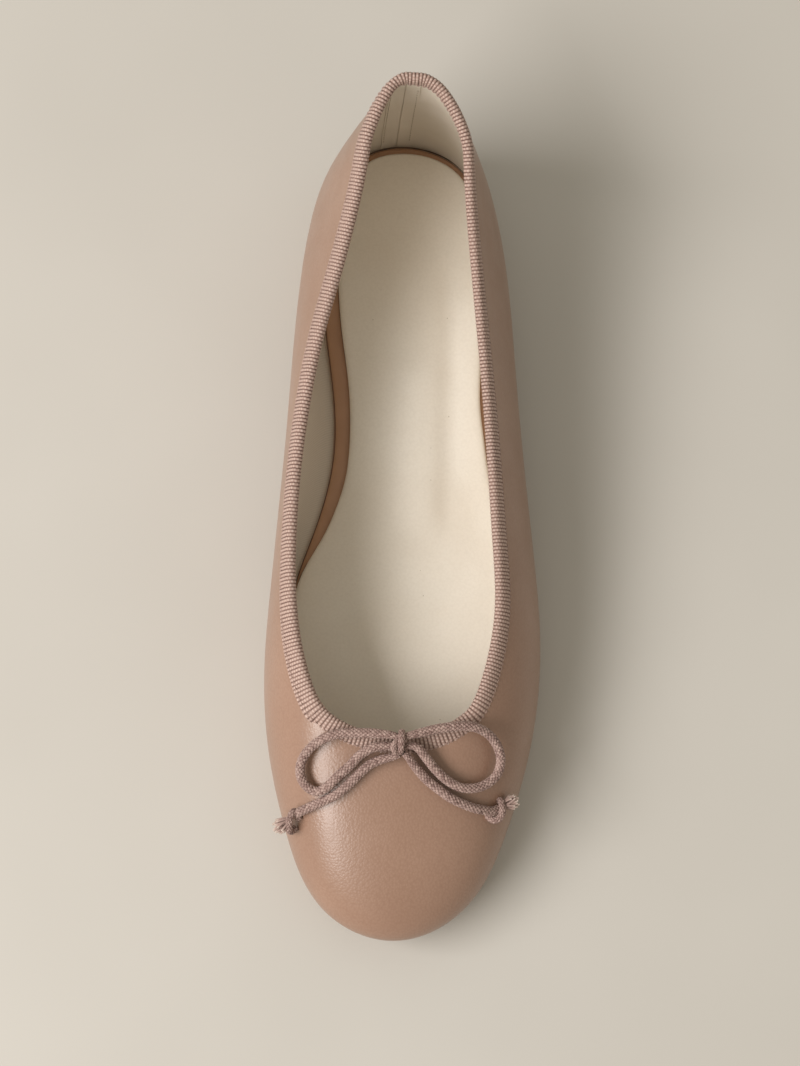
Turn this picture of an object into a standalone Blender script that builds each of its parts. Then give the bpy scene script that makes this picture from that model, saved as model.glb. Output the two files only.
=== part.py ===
"""A round-toed ballet flat for the left foot, with a bound topline and a tied cord bow.

The toe points to -Y, the wearer's outer side is +X, and the sole stands on z = 0.
Tables and sizes are in millimetres, and every mesh is written in metres.
"""

import math
from collections import namedtuple

import bmesh
import bpy
import numpy as np
from mathutils import Vector

METRE = 0.001

# Driving sizes
SHOE_LENGTH = 238.2
BALL_WIDTH = 79.0
BACK_HEIGHT = 70.0
THROAT_HEIGHT = 37.5
WALL = 1.6
FIT_GAP = 0.3

SOLE_THICK = 3.5
SOLE_STEP = 0.6
SOLE_EDGE_ROUND = 0.6
LASTING_MARGIN = 7.0

HEEL_BREAST_Y = 64.0
HEEL_BREAST_HOLLOW = 5.0
HEEL_TAPER = 1.4
HEEL_SET_IN = 0.5
HEEL_EDGE_ROUND = 0.5

BOARD_THICK = 2.2
BOARD_INSET = 0.8
BOARD_EDGE_ROUND = 1.2
SOCK_THICK = 1.8
SOCK_INSET = 0.9
SOCK_EDGE_ROUND = 0.5

TAPE_FLAP = 3.2
TAPE_THICK = 0.8
TAPE_CREST = 1.5
TAPE_SHOULDER = 0.7
TAPE_ROW_SHARES = (1.0, 0.6, 0.2, 0.0)

CORD_DIAMETER = 2.8

# Facets
STATIONS_PER_SIDE = 44
WALL_ROWS = 8
TURN_ROWS = 3
PROFILE_SAMPLES = 60
HEEL_SIDE_POINTS = 12
HEEL_BREAST_POINTS = 9
KNOT_SIDES = 12
KNOT_RINGS = 8
CORD_POINT_SPACING = 3.4
END_POINT_SPACING = 1.2
SPAN_SAMPLES = 12

# The half lengths and widths that the sections below are shares of
HALF_LENGTH = SHOE_LENGTH / 2
HALF_WIDTH = BALL_WIDTH / 2

# The line of the sole's upper face, from toe to heel: spring, flat tread, pitch and heel seat
SoleLine = namedtuple("SoleLine", "y height")
SOLE_LINE = (
    SoleLine(-123.0, 9.2),
    SoleLine(-108.0, 6.6),
    SoleLine(-90.0, 4.3),
    SoleLine(-74.0, SOLE_THICK),
    SoleLine(-22.0, SOLE_THICK),
    SoleLine(2.0, 4.8),
    SoleLine(27.0, 7.7),
    SoleLine(50.0, 10.4),
    SoleLine(68.0, 11.8),
    SoleLine(88.0, 12.0),
    SoleLine(125.0, 12.0),
)

# Sections round the last, each a wall profile from the feather edge to the topline:
#   girth_x, girth_y  widest point in plan
#   rise              height of the widest point over the sole line
#   tuck              how far the feather edge lies inside the widest point
#   belly             fullness of the turn from the feather edge up to the widest point
#   shoulder          height where the wall starts to lean in
#   top_x, top_y, top_z  topline
#   rim               width of covered board that shows round the sock
Section = namedtuple("Section", "name girth_x girth_y rise tuck belly shoulder top_x top_y top_z rim")
HEEL_BACK = (
    Section("heel back", 0.2, HALF_LENGTH, 9.0, 2.7, 0.9, 46.0, 0.4, 115.2, BACK_HEIGHT, 2.4),
)
LATERAL = (
    Section("heel arc", 12.6, 115.9, 8.5, 2.7, 0.9, 42.0, 8.4, 112.7, 69.3, 2.6),
    Section("heel corner", 20.7, 108.9, 8.0, 2.7, 0.9, 34.0, 14.5, 103.0, 66.5, 3.0),
    Section("heel side", 26.9, 94.0, 8.0, 3.0, 0.9, 29.0, 16.8, 91.5, 62.6, 2.8),
    Section("heel front", 31.0, 68.0, 8.0, 4.5, 0.8, 27.0, 19.2, 66.0, 54.2, 2.4),
    Section("waist back", 33.0, 42.0, 8.5, 7.0, 0.7, 27.0, 22.0, 40.5, 47.4, 2.2),
    Section("waist", 35.2, 16.5, 9.5, 8.5, 0.7, 27.5, 24.2, 14.5, 43.3, 1.4),
    Section("joint back", 37.8, -8.5, 9.5, 5.6, 0.8, 27.0, 25.8, -10.5, 40.6, 0.8),
    Section("joint", HALF_WIDTH, -37.1, 9.5, 4.2, 0.9, 27.0, 25.9, -34.0, 38.9, 0.5),
    Section("toe side", 37.1, -61.3, 9.0, 3.8, 0.9, 26.5, 21.2, -53.0, 38.1, 0.5),
    Section("toe quarter", 29.9, -87.2, 8.0, 3.8, 0.9, 25.5, 15.2, -61.0, 37.7, 0.5),
    Section("toe corner", 18.0, -109.6, 5.6, 3.8, 0.9, 24.5, 7.0, -65.1, 37.5, 0.5),
)
TOE_TIP = (
    Section("toe tip", -2.2, -HALF_LENGTH, 4.6, 3.8, 0.9, 24.0, -2.6, -66.5, THROAT_HEIGHT, 0.5),
)
MEDIAL = (
    Section("toe corner", -22.4, -110.4, 5.6, 3.8, 0.9, 24.5, -12.4, -65.0, 37.5, 0.5),
    Section("toe quarter", -32.9, -88.6, 8.0, 3.8, 0.9, 25.5, -21.2, -61.0, 37.7, 0.5),
    Section("toe side", -38.2, -64.6, 9.0, 3.8, 0.9, 26.5, -27.4, -53.0, 38.1, 0.5),
    Section("joint", -HALF_WIDTH, -43.0, 9.8, 4.2, 0.9, 27.5, -31.6, -38.5, 38.7, 0.5),
    Section("joint back", -37.8, -17.7, 11.0, 5.4, 0.7, 28.5, -33.4, -18.0, 40.0, 0.6),
    Section("waist front", -36.0, 2.0, 15.5, 10.2, 0.5, 31.0, -32.8, 1.5, 41.7, 4.6),
    Section("waist", -34.1, 23.5, 17.5, 13.2, 0.4, 34.0, -30.6, 22.5, 44.4, 4.6),
    Section("waist back", -32.7, 44.0, 15.0, 11.0, 0.5, 35.0, -26.6, 44.5, 48.3, 5.0),
    Section("heel front", -30.9, 66.0, 11.0, 6.5, 0.7, 33.0, -21.0, 65.0, 53.8, 4.4),
    Section("heel side", -27.0, 92.0, 8.5, 3.4, 0.9, 30.0, -14.8, 91.5, 62.6, 3.2),
    Section("heel corner", -20.2, 109.0, 8.0, 2.7, 0.9, 34.0, -12.2, 103.0, 66.5, 3.0),
    Section("heel arc", -12.4, 115.9, 8.5, 2.7, 0.9, 42.0, -7.2, 112.4, 69.2, 2.6),
)
SECTIONS = HEEL_BACK + LATERAL + TOE_TIP + MEDIAL
TOE_ROW = 1 + len(LATERAL)

# The bow's cord: the middle of each run, lying on the vamp and the tape
CordPoint = namedtuple("CordPoint", "x y z")
LOOP_MEDIAL = (
    CordPoint(-4.8, -65.6, 42.0),
    CordPoint(-9.0, -65.1, 41.5),
    CordPoint(-13.6, -64.9, 40.9),
    CordPoint(-18.4, -65.0, 40.3),
    CordPoint(-22.8, -66.1, 38.7),
    CordPoint(-26.5, -68.4, 36.4),
    CordPoint(-28.9, -71.7, 34.2),
    CordPoint(-29.2, -75.4, 32.7),
    CordPoint(-27.5, -78.4, 32.1),
    CordPoint(-24.6, -79.9, 32.7),
    CordPoint(-21.8, -78.8, 34.5),
    CordPoint(-19.0, -76.1, 35.9),
    CordPoint(-16.0, -73.6, 37.1),
    CordPoint(-13.1, -70.7, 38.8),
    CordPoint(-9.4, -68.8, 40.3),
    CordPoint(-5.2, -68.4, 40.7),
)
LOOP_LATERAL = (
    CordPoint(0.5, -65.6, 42.0),
    CordPoint(4.4, -64.6, 41.6),
    CordPoint(8.8, -63.5, 41.2),
    CordPoint(13.6, -62.8, 40.7),
    CordPoint(18.2, -62.8, 39.6),
    CordPoint(22.2, -64.3, 37.4),
    CordPoint(25.0, -67.4, 35.1),
    CordPoint(26.0, -71.2, 33.4),
    CordPoint(24.9, -74.9, 32.6),
    CordPoint(22.0, -77.5, 32.6),
    CordPoint(18.3, -78.8, 33.5),
    CordPoint(14.3, -78.6, 34.7),
    CordPoint(10.7, -76.8, 35.9),
    CordPoint(7.5, -74.0, 37.2),
    CordPoint(4.8, -71.0, 38.8),
    CordPoint(2.9, -69.0, 40.2),
    CordPoint(1.0, -68.3, 40.7),
)
TAIL_MEDIAL = (
    CordPoint(-4.3, -71.2, 39.3),
    CordPoint(-7.2, -71.8, 38.4),
    CordPoint(-10.2, -73.0, 37.5),
    CordPoint(-13.3, -75.6, 36.3),
    CordPoint(-16.3, -78.5, 35.0),
    CordPoint(-19.4, -80.9, 33.7),
    CordPoint(-22.8, -82.4, 32.2),
    CordPoint(-26.0, -83.7, 30.4),
)
TAIL_LATERAL = (
    CordPoint(0.0, -71.2, 39.2),
    CordPoint(2.2, -73.7, 37.6),
    CordPoint(5.2, -76.8, 36.2),
    CordPoint(8.4, -79.2, 35.1),
    CordPoint(11.8, -81.4, 33.9),
    CordPoint(15.2, -82.8, 32.7),
    CordPoint(18.6, -83.8, 31.3),
    CordPoint(21.2, -84.2, 30.0),
)
# The stopper knot and frayed tuft at each end, thick and thin along its middle line
EndPoint = namedtuple("EndPoint", "x y z radius")
END_MEDIAL = (
    EndPoint(-26.4, -83.9, 30.1, 1.2),
    EndPoint(-28.4, -84.7, 28.9, 2.2),
    EndPoint(-30.0, -85.4, 28.0, 2.3),
    EndPoint(-31.3, -86.0, 27.4, 1.3),
    EndPoint(-33.2, -87.0, 26.8, 1.9),
    EndPoint(-35.2, -88.2, 26.2, 2.1),
    EndPoint(-36.2, -88.9, 26.0, 0.9),
)
END_LATERAL = (
    EndPoint(21.7, -84.3, 29.8, 1.2),
    EndPoint(23.8, -84.4, 28.7, 2.2),
    EndPoint(25.4, -84.1, 27.9, 2.3),
    EndPoint(26.8, -83.2, 27.2, 1.3),
    EndPoint(28.6, -82.0, 26.2, 1.8),
    EndPoint(30.2, -80.9, 25.2, 2.0),
    EndPoint(31.0, -80.3, 24.7, 0.9),
)
Knot = namedtuple("Knot", "x y z radius_x radius_y radius_z")
BOW_KNOT = Knot(-2.2, -68.0, 41.7, 2.4, 3.6, 2.6)

Finish = namedtuple("Finish", "colour roughness")
FINISHES = {
    "leather": Finish((0.56, 0.35, 0.26), 0.42),
    "grosgrain": Finish((0.50, 0.34, 0.29), 0.80),
    "sock_leather": Finish((0.80, 0.74, 0.61), 0.50),
    "board_cover": Finish((0.40, 0.23, 0.14), 0.50),
    "sole_leather": Finish((0.42, 0.28, 0.18), 0.55),
    "heel_stack": Finish((0.24, 0.15, 0.10), 0.50),
    "cord": Finish((0.42, 0.28, 0.25), 0.85),
}


def clear_scene():
    for obj in list(bpy.data.objects):
        bpy.data.objects.remove(obj)


def material(name):
    """A plain Principled material for one finish."""
    made = bpy.data.materials.get(name)
    if made is None:
        made = bpy.data.materials.new(name)
        made.use_nodes = True
        shader = made.node_tree.nodes["Principled BSDF"]
        shader.inputs["Base Color"].default_value = (*FINISHES[name].colour, 1.0)
        shader.inputs["Roughness"].default_value = FINISHES[name].roughness
        shader.inputs["Metallic"].default_value = 0.0
    return made


def add_object(name, data, finish):
    obj = bpy.data.objects.new(name, data)
    bpy.context.scene.collection.objects.link(obj)
    data.materials.append(material(finish))
    return obj


def mesh_object(name, points, faces, finish, sharp_degrees=50.0):
    """One closed mesh from points in millimetres, with its faces turned outwards."""
    grid = bmesh.new()
    corners = [grid.verts.new(np.asarray(p) * METRE) for p in points]
    for face in faces:
        grid.faces.new([corners[i] for i in face])
    bmesh.ops.recalc_face_normals(grid, faces=grid.faces)
    mesh = bpy.data.meshes.new(name)
    grid.to_mesh(mesh)
    grid.free()
    mesh.shade_smooth()
    mesh.set_sharp_from_angle(angle=math.radians(sharp_degrees))
    return add_object(name, mesh, finish)


def ring_solid(name, loops, finish):
    """A closed ring: each loop is a closed section, and the last loop joins the first."""
    count, across = loops.shape[:2]
    points = loops.reshape(-1, 3)
    faces = []
    for i in range(count):
        for j in range(across):
            here, ahead = i * across, (i + 1) % count * across
            side = (j + 1) % across
            faces.append((here + j, ahead + j, ahead + side, here + side))
    return mesh_object(name, points, faces, finish)


def cross_strips(count):
    """Faces across an outline, between the points of one side and those facing them."""
    half = count // 2
    strips = [(0, 1, count - 1)]
    for i in range(1, half - 1):
        strips.append((i, i + 1, count - i - 1, count - i))
    strips.append((half - 1, half, half + 1))
    return strips


def stacked_solid(name, outlines, finish, cap=cross_strips):
    """A plate: outlines from its lower face up to its upper face, each one heel to toe and back."""
    layers, count = outlines.shape[:2]
    points = outlines.reshape(-1, 3)
    faces = []
    for k in range(layers - 1):
        low, high = k * count, (k + 1) * count
        for i in range(count):
            after = (i + 1) % count
            faces.append((low + i, low + after, high + after, high + i))
    for first in (0, (layers - 1) * count):
        faces += [tuple(first + i for i in face) for face in cap(count)]
    return mesh_object(name, points, faces, finish)


def periodic_spline(knots, values, at):
    """A smooth closed curve through values, with one knot more than values to close it."""
    steps = np.diff(knots)
    count = len(values)
    system = np.zeros((count, count))
    wanted = np.zeros_like(values, dtype=float)
    for i in range(count):
        before, after = steps[i - 1], steps[i]
        system[i, i - 1] += before
        system[i, i] += 2 * (before + after)
        system[i, (i + 1) % count] += after
        rise_after = (values[(i + 1) % count] - values[i]) / after
        rise_before = (values[i] - values[i - 1]) / before
        wanted[i] = 6 * (rise_after - rise_before)
    bends = np.linalg.solve(system, wanted)
    spans = np.clip(np.searchsorted(knots, at, side="right") - 1, 0, count - 1)
    after = (spans + 1) % count
    step = steps[spans][:, None]
    right = (at - knots[spans])[:, None] / step
    left = 1 - right
    curve = left * values[spans] + right * values[after]
    bend = (left**3 - left) * bends[spans] + (right**3 - right) * bends[after]
    return curve + bend * step**2 / 6


def flat_spline(knots, values, at):
    """A smooth line through values that never overshoots, so that level rows stay level."""
    knots, values = np.asarray(knots, float), np.asarray(values, float)
    steps, rises = np.diff(knots), np.diff(values)
    slopes = rises / steps
    tangents = np.zeros(len(knots))
    for i in range(1, len(knots) - 1):
        if slopes[i - 1] * slopes[i] > 0:
            weights = 2 * steps[i] + steps[i - 1], steps[i] + 2 * steps[i - 1]
            tangents[i] = sum(weights) / (weights[0] / slopes[i - 1] + weights[1] / slopes[i])
    tangents[0], tangents[-1] = slopes[0], slopes[-1]
    spans = np.clip(np.searchsorted(knots, at, side="right") - 1, 0, len(steps) - 1)
    step = steps[spans]
    t = (at - knots[spans]) / step
    curve = values[spans] * (1 + 2 * t) * (1 - t) ** 2 + values[spans + 1] * t**2 * (3 - 2 * t)
    return curve + step * (tangents[spans] * t * (1 - t) ** 2 - tangents[spans + 1] * t**2 * (1 - t))


def sole_line(y):
    """Height of the sole's upper face at y."""
    return flat_spline([row.y for row in SOLE_LINE], [row.height for row in SOLE_LINE], y)


def conic(start, corner, end, weight, t):
    """A conic arc from start to end whose tangents meet at corner."""
    a, b, c = (1 - t) ** 2, 2 * weight * t * (1 - t), t**2
    return (a * start + b * corner + c * end) / (a + b + c)


class Last:
    """The shoe's outer skin, worked out from the table of sections."""

    def __init__(self, per_side):
        table = np.array([row[1:] for row in SECTIONS], float)
        plan = table[:, :2]
        chords = np.linalg.norm(np.roll(plan, -1, axis=0) - plan, axis=1)
        knots = np.concatenate([[0.0], np.cumsum(chords)])
        lateral = np.linspace(0.0, knots[TOE_ROW], per_side + 1)
        medial = np.linspace(knots[TOE_ROW], knots[-1], per_side + 1)
        around = np.concatenate([lateral, medial[1:-1]])
        columns = periodic_spline(knots, table, around)
        self.girth = columns[:, :2]
        self.rise, self.tuck, self.belly, self.shoulder = columns[:, 2:6].T
        self.top = columns[:, 6:9]
        self.rim = columns[:, 9]
        along = np.roll(self.girth, -1, axis=0) - np.roll(self.girth, 1, axis=0)
        along /= np.linalg.norm(along, axis=1)[:, None]
        self.inward = np.stack([-along[:, 1], along[:, 0]], axis=1)
        if np.sum(self.inward * self.girth) > 0:
            self.inward = -self.inward

    def outline(self, inset):
        """Points in plan, inset from the widest line by a length or by one length a station."""
        return self.girth + self.inward * np.reshape(inset, (-1, 1))

    def on_sole(self, inset, lift):
        """An outline that lies a given height over the sole line."""
        plan = self.outline(inset)
        return np.column_stack([plan, sole_line(plan[:, 1]) + lift])

    def widest(self):
        plan = self.outline(0.0)
        seat = sole_line(self.outline(self.tuck)[:, 1])
        return np.column_stack([plan, seat + self.rise])

    def wall(self, t):
        """Points of every station between the widest line at t = 0 and the topline at t = 1."""
        widest = self.widest()
        corner = np.column_stack([widest[:, :2], self.shoulder])
        return conic(widest, corner, self.top, 1.0, t)

    def turn(self, t):
        """Points of every station between the feather edge at t = 0 and the widest line at t = 1."""
        feather = self.on_sole(self.tuck, FIT_GAP)
        widest = self.widest()
        corner = np.column_stack([widest[:, :2], feather[:, 2]])
        return conic(feather, corner, widest, self.belly[:, None], t)

    def skin(self):
        """The outer skin as rows from the lasting margin's edge up to the topline."""
        rows = [self.on_sole(self.tuck + LASTING_MARGIN, FIT_GAP)]
        rows += [self.turn(t) for t in np.linspace(0.0, 1.0, TURN_ROWS + 1)[:-1]]
        rows += [self.wall(t) for t in np.linspace(0.0, 1.0, WALL_ROWS + 1)]
        return np.stack(rows, axis=1)

    def below_topline(self, depths):
        """Points of the wall at given depths below the topline, measured along the wall."""
        fine = np.stack([self.wall(t) for t in np.linspace(1.0, 0.0, PROFILE_SAMPLES)], axis=1)
        steps = np.linalg.norm(np.diff(fine, axis=1), axis=2)
        rows = np.empty((len(fine), len(depths), 3))
        for line, step, row in zip(fine, steps, rows):
            run = np.concatenate([[0.0], np.cumsum(step)])
            for axis in range(3):
                row[:, axis] = np.interp(depths, run, line[:, axis])
        return rows


def normals(skin, facing_row):
    """Outward normals of a skin of stations by rows, turned to face out at one of its rows."""
    along = np.roll(skin, -1, axis=0) - np.roll(skin, 1, axis=0)
    up = np.gradient(skin, axis=1)
    out = np.cross(along, up)
    out /= np.linalg.norm(out, axis=2)[:, :, None]
    if np.sum(out[:, facing_row, :2] * skin[:, facing_row, :2]) < 0:
        out = -out
    return out


def make_upper(last):
    """One hollow wall, open at the throat and underneath inside the lasting margin."""
    skin = last.skin()
    lining = skin - WALL * normals(skin, facing_row=1 + TURN_ROWS)
    loops = np.concatenate([skin, lining[:, ::-1]], axis=1)
    return ring_solid("upper", loops, "leather")


def make_binding(last):
    """A ribbed tape folded over the topline, a gap clear of the wall on both faces."""
    skin = last.below_topline(TAPE_FLAP * np.array(TAPE_ROW_SHARES))
    out = normals(skin, facing_row=0)
    rise = skin[:, -1] - skin[:, -2]
    rise /= np.linalg.norm(rise, axis=1)[:, None]
    edge, edge_out = skin[:, -1], out[:, -1]
    tape = FIT_GAP + TAPE_THICK
    shoulder_out, shoulder_up = TAPE_SHOULDER * tape, TAPE_SHOULDER * TAPE_CREST

    outer_flap = [skin[:, k] + out[:, k] * tape for k in range(3)]
    crest = [
        edge + edge_out * shoulder_out + rise * shoulder_up,
        edge - edge_out * WALL / 2 + rise * TAPE_CREST,
        edge - edge_out * (WALL + shoulder_out) + rise * shoulder_up,
    ]
    inner_flap = [skin[:, k] - out[:, k] * (WALL + tape) for k in range(2, -1, -1)]
    fold = [
        skin[:, 0] - out[:, 0] * (WALL + FIT_GAP),
        edge - edge_out * (WALL + FIT_GAP) + rise * FIT_GAP,
        edge + edge_out * FIT_GAP + rise * FIT_GAP,
        skin[:, 0] + out[:, 0] * FIT_GAP,
    ]
    loops = np.stack(outer_flap + crest + inner_flap + fold, axis=1)
    return ring_solid("topline_binding", loops, "grosgrain")


def make_outsole(last):
    """A thin sole that follows the toe spring, the flat tread, the waist and the heel seat."""
    edge = last.tuck - SOLE_STEP
    outlines = [
        last.on_sole(edge + SOLE_EDGE_ROUND, -SOLE_THICK),
        last.on_sole(edge, -SOLE_THICK + SOLE_EDGE_ROUND),
        last.on_sole(edge, -SOLE_EDGE_ROUND),
        last.on_sole(edge + SOLE_EDGE_ROUND, 0.0),
    ]
    return stacked_solid("outsole", np.stack(outlines), "sole_leather")


def heel_outline(last, inset):
    """The heel's plan: round the back from breast to breast, then along the hollowed breast."""
    edge = last.outline(last.tuck - SOLE_STEP + HEEL_SET_IN + inset)
    around = np.linspace(0.0, 1.0, HEEL_SIDE_POINTS)
    half = STATIONS_PER_SIDE
    sides = []
    for side in (edge[: half + 1], np.concatenate([edge[:1], edge[half:][::-1]])):
        keep = side[: np.argmax(side[:, 1] < HEEL_BREAST_Y) + 1]
        share = (keep[-2, 1] - HEEL_BREAST_Y) / (keep[-2, 1] - keep[-1, 1])
        keep[-1] = keep[-2] + share * (keep[-1] - keep[-2])
        run = np.concatenate([[0.0], np.cumsum(np.linalg.norm(np.diff(keep, axis=0), axis=1))])
        sides.append(np.column_stack([np.interp(around * run[-1], run, keep[:, k]) for k in (0, 1)]))
    lateral, medial = sides
    shares = np.linspace(0.0, 1.0, HEEL_BREAST_POINTS)[1:-1, None]
    breast = lateral[-1] + shares * (medial[-1] - lateral[-1])
    breast[:, 1] += HEEL_BREAST_HOLLOW * np.sin(np.pi * shares[:, 0])
    return np.concatenate([lateral, breast, medial[:0:-1]])


def heel_cap(count):
    """Faces across the heel: strips between its sides, then a fan from each side to the hollowed breast."""
    lateral = HEEL_SIDE_POINTS - 2
    middle, medial = count // 2, count - lateral
    faces = cross_strips(count)[:lateral]
    faces += [(lateral, i, i + 1) for i in range(lateral + 1, middle)]
    faces.append((lateral, middle, medial))
    faces += [(i, i + 1, medial) for i in range(middle, medial - 1)]
    return faces


def make_heel(last):
    """A low block under the heel seat, with a hollowed breast and a slight taper to the floor."""
    top = heel_outline(last, 0.0)
    foot = heel_outline(last, HEEL_TAPER)
    tip = heel_outline(last, HEEL_TAPER + HEEL_EDGE_ROUND)
    seat = sole_line(top[:, 1]) - SOLE_THICK - FIT_GAP
    floor = np.zeros(len(top))
    outlines = [
        np.column_stack([tip, floor]),
        np.column_stack([foot, floor + HEEL_EDGE_ROUND]),
        np.column_stack([top, seat]),
    ]
    return stacked_solid("heel", np.stack(outlines), "heel_stack", heel_cap)


def make_insole_board(last):
    """The covered board that lies on the lasting margin, rounded over at its edge."""
    edge = last.tuck + BOARD_INSET
    low = FIT_GAP + WALL + FIT_GAP
    half_round = BOARD_EDGE_ROUND / 2
    outlines = [
        last.on_sole(edge + half_round, low),
        last.on_sole(edge, low + half_round),
        last.on_sole(edge + half_round / 2, low + BOARD_THICK - half_round),
        last.on_sole(edge + BOARD_EDGE_ROUND, low + BOARD_THICK),
    ]
    return stacked_solid("insole_board", np.stack(outlines), "board_cover")


def make_insole_sock(last):
    """The pale sock on the board, narrower than it by the rim that shows."""
    edge = last.tuck + BOARD_INSET + last.rim + SOCK_INSET
    low = FIT_GAP + WALL + FIT_GAP + BOARD_THICK + FIT_GAP
    outlines = [
        last.on_sole(edge + SOCK_EDGE_ROUND / 2, low),
        last.on_sole(edge, low + SOCK_THICK / 2),
        last.on_sole(edge + SOCK_EDGE_ROUND, low + SOCK_THICK),
    ]
    return stacked_solid("insole_sock", np.stack(outlines), "sock_leather")


def smooth_path(route, spacing):
    """Evenly spaced points on a smooth curve through every row of a route."""
    rows = np.asarray(route, float)
    slopes = np.gradient(rows, axis=0)
    t = np.linspace(0.0, 1.0, SPAN_SAMPLES, endpoint=False)[:, None]
    spans = []
    for i in range(len(rows) - 1):
        spans.append(
            rows[i] * (1 + 2 * t) * (1 - t) ** 2
            + rows[i + 1] * t**2 * (3 - 2 * t)
            + slopes[i] * t * (1 - t) ** 2
            - slopes[i + 1] * t**2 * (1 - t)
        )
    fine = np.concatenate(spans + [rows[-1:]])
    run = np.concatenate([[0.0], np.cumsum(np.linalg.norm(np.diff(fine[:, :3], axis=0), axis=1))])
    stops = np.linspace(0.0, run[-1], 1 + round(run[-1] / spacing))
    return np.column_stack([np.interp(stops, run, column) for column in fine.T])


def cord_object(name, path, radii):
    """A round cord along a path, with a flat end at each side."""
    curve = bpy.data.curves.new(name, "CURVE")
    curve.dimensions = "3D"
    curve.bevel_depth = METRE
    curve.bevel_resolution = 2
    curve.use_fill_caps = True
    spline = curve.splines.new("POLY")
    spline.points.add(len(path) - 1)
    for point, place, radius in zip(spline.points, path, radii):
        point.co = (*(place * METRE), 1.0)
        point.radius = radius
    return add_object(name, curve, "cord")


def make_bow():
    """Two loops and two tails of one cord, gathered by a knot, with a stopper knot on each tail."""
    runs = {
        "bow_loop_medial": LOOP_MEDIAL,
        "bow_loop_lateral": LOOP_LATERAL,
        "bow_tail_medial": TAIL_MEDIAL,
        "bow_tail_lateral": TAIL_LATERAL,
    }
    for name, route in runs.items():
        path = smooth_path(route, CORD_POINT_SPACING)
        cord_object(name, path, np.full(len(path), CORD_DIAMETER / 2))
    for name, route in {"bow_end_medial": END_MEDIAL, "bow_end_lateral": END_LATERAL}.items():
        path = smooth_path(route, END_POINT_SPACING)
        cord_object(name, path[:, :3], path[:, 3])

    ball = bmesh.new()
    bmesh.ops.create_uvsphere(ball, u_segments=KNOT_SIDES, v_segments=KNOT_RINGS, radius=1.0)
    radii = Vector((BOW_KNOT.radius_x, BOW_KNOT.radius_y, BOW_KNOT.radius_z)) * METRE
    bmesh.ops.scale(ball, vec=radii, verts=ball.verts)
    bmesh.ops.translate(ball, vec=Vector(BOW_KNOT[:3]) * METRE, verts=ball.verts)
    mesh = bpy.data.meshes.new("bow_knot")
    ball.to_mesh(mesh)
    ball.free()
    mesh.shade_smooth()
    add_object("bow_knot", mesh, "cord")


def main():
    clear_scene()
    last = Last(STATIONS_PER_SIDE)
    make_upper(last)
    make_binding(last)
    make_outsole(last)
    make_heel(last)
    make_insole_board(last)
    make_insole_sock(last)
    make_bow()


main()
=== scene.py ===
"""Looks of a ballet flat: nude leather, ribbed topline tape, lining, footbed, sole and cord bow.

Toe to -Y, outer side to +X, sole on z = 0. Sizes are in millimetres and turned to metres by MM.
"""

import math

import bmesh
import bpy
import numpy as np
from mathutils import Matrix, Vector
from mathutils.bvhtree import BVHTree
from mathutils.kdtree import KDTree


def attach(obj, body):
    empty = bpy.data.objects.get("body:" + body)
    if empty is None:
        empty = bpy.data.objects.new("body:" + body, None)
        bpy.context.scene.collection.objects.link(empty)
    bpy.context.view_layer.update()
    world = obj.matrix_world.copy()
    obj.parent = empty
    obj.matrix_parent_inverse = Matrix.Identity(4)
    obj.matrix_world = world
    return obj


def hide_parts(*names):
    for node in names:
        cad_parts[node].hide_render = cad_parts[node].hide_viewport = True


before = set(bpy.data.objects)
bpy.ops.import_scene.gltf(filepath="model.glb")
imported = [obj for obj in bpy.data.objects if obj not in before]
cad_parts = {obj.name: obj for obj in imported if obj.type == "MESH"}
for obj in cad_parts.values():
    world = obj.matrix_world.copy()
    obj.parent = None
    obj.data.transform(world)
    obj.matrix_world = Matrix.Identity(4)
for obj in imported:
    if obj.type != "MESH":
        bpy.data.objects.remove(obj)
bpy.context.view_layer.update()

MM = 0.001
MERGE = 1e-6

# The view: where the camera stands, what it looks at, and its lens on a 36 mm long side
CAMERA_PLACE = (-43.0, -187.9, 776.0)
CAMERA_AIM = (-1.0, -3.0, 18.0)
CAMERA_LENS = 92.0

# The light, in metres and watts: a window on the inner side, the room's fill, and the floor
WINDOW_PLACE = (-1.04, -0.41, 1.04)
WINDOW_SIZE = (1.3, 0.55)
WINDOW_POWER = 22.8
WINDOW_COLOUR = (1.0, 0.972, 0.95)
FILL_COLOUR = (1.0, 0.945, 0.81, 1.0)
FILL_STRENGTH = 0.42
FLOOR_SIZE = 6.0

# Slopes of faces, as one part of their normal: a plate's side, its rounded top, and a flat face
SIDE_SLOPE = 0.5
TOP_SLOPE = 0.7
FLAT_SLOPE = 0.9

# Copies of solids: how sheared a quad may be, in degrees, and the least length of an edge across a plate
QUAD_SHEARS = (30.0, 55.0, 180.0)
ACROSS_LENGTH = 7.5

# Points between two points of a route
SPAN_STEPS = 12

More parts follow.
